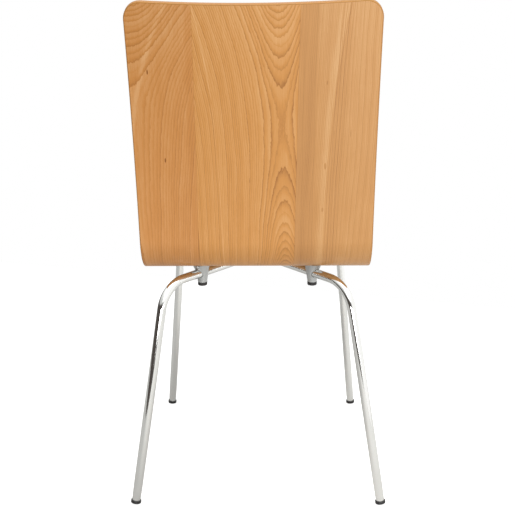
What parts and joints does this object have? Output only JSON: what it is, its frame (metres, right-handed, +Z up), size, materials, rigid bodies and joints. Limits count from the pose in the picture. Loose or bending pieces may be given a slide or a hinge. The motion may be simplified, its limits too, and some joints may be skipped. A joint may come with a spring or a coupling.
{
  "type": "stacking chair",
  "caption": "Armless chair with a one-piece moulded plywood seat and back on splayed chromed tube legs that are bent from two tubes welded under the seat.",
  "frame": {"origin": "on the floor, under the centre of the chair's bounding box", "axes": "+Z up, +Y towards the front edge of the seat, +X towards the sitter's right"},
  "size_m": [0.4606, 0.5122, 0.8746],
  "materials": {
    "lacquered_plywood": "clear satin lacquer over a light hardwood veneer, with the plies showing at the edge",
    "chromed_tube": "bright chrome plate on bent steel tube",
    "chromed_weld": "chrome plate over rippled weld beads",
    "cast_bracket": "fine satin casting, lightly tumbled",
    "zinc_steel": "bright zinc plate",
    "brass_insert": "plain turned brass",
    "black_rubber": "matt black moulded rubber",
    "black_plastic": "black moulded plastic, scuffed where it meets the floor"
  },
  "bodies": {
    "root": {"seat_shell": "lacquered_plywood", "left_frame_tube": "chromed_tube", "right_frame_tube": "chromed_tube", "centre_weld": "chromed_weld", "front_left_bracket": "cast_bracket", "front_right_bracket": "cast_bracket", "rear_left_bracket": "cast_bracket", "rear_right_bracket": "cast_bracket", "front_left_screw": "zinc_steel", "front_right_screw": "zinc_steel", "rear_left_screw": "zinc_steel", "rear_right_screw": "zinc_steel", "front_left_washer": "zinc_steel", "front_right_washer": "zinc_steel", "rear_left_washer": "zinc_steel", "rear_right_washer": "zinc_steel", "front_left_insert": "brass_insert", "front_right_insert": "brass_insert", "rear_left_insert": "brass_insert", "rear_right_insert": "brass_insert", "front_left_buffer": "black_rubber", "front_right_buffer": "black_rubber", "rear_left_buffer": "black_rubber", "rear_right_buffer": "black_rubber", "front_left_glide": "black_plastic", "front_right_glide": "black_plastic", "rear_left_glide": "black_plastic", "rear_right_glide": "black_plastic"}
  },
  "joints": []
}
